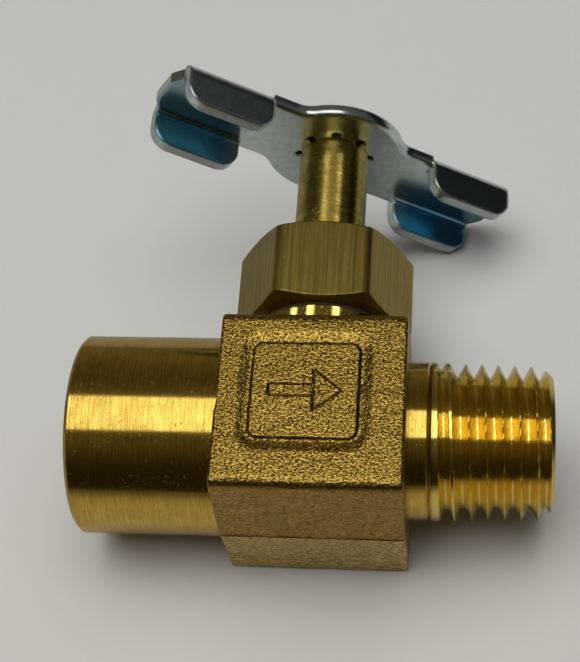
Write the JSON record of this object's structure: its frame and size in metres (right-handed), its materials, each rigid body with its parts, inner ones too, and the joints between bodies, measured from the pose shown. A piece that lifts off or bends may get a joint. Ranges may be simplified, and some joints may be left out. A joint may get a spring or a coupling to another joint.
{
  "type": "needle valve",
  "caption": "Small forged brass needle valve: female pipe port one side, male pipe thread the other, hex bonnet, turned stem and plated sheet-steel tee handle.",
  "frame": {"origin": "on the forging's flat back face, directly under the crossing of the pipe axis and the stem axis; the pipe axis is 8.85 mm above it", "axes": "+X along the pipe axis towards the male thread, +Y along the stem towards the handle, +Z from the back face to the front face that carries the emblem pad"},
  "size_m": [0.0412, 0.0418, 0.0271],
  "materials": {
    "forged_brass": "grit-blasted forging with turned ends",
    "drawn_brass": "drawn hexagon bar, lengthwise lines",
    "turned_brass": "fine turned",
    "zinc_steel": "bright zinc plated with a blue tint",
    "seal_rubber": "matt black",
    "backup_plastic": "matt white",
    "gasket_fibre": "matt dark brown"
  },
  "bodies": {
    "valve": {"valve_body": "forged_brass", "bonnet": "drawn_brass", "bonnet_gasket": "gasket_fibre"},
    "seal_pack": {"stem_o_ring": "seal_rubber", "lower_backup_ring": "backup_plastic", "upper_backup_ring": "backup_plastic"},
    "stem_and_handle": {"stem": "turned_brass", "tee_handle": "zinc_steel"}
  },
  "joints": [
    {"name": "stem_lift", "type": "slide", "parent": "valve", "child": "seal_pack", "axis": [0, 1, 0], "range_m": [-0.00106, 0.00212]},
    {"name": "stem_turn", "type": "hinge", "parent": "seal_pack", "child": "stem_and_handle", "pos_m": [0, 0, 0.00885], "axis": [0, 1, 0], "range_deg": [-361, 721]}
  ],
  "couplings": [
    {"joint": "stem_turn", "follows": "stem_lift", "rad_per_m": 5937.1}
  ]
}
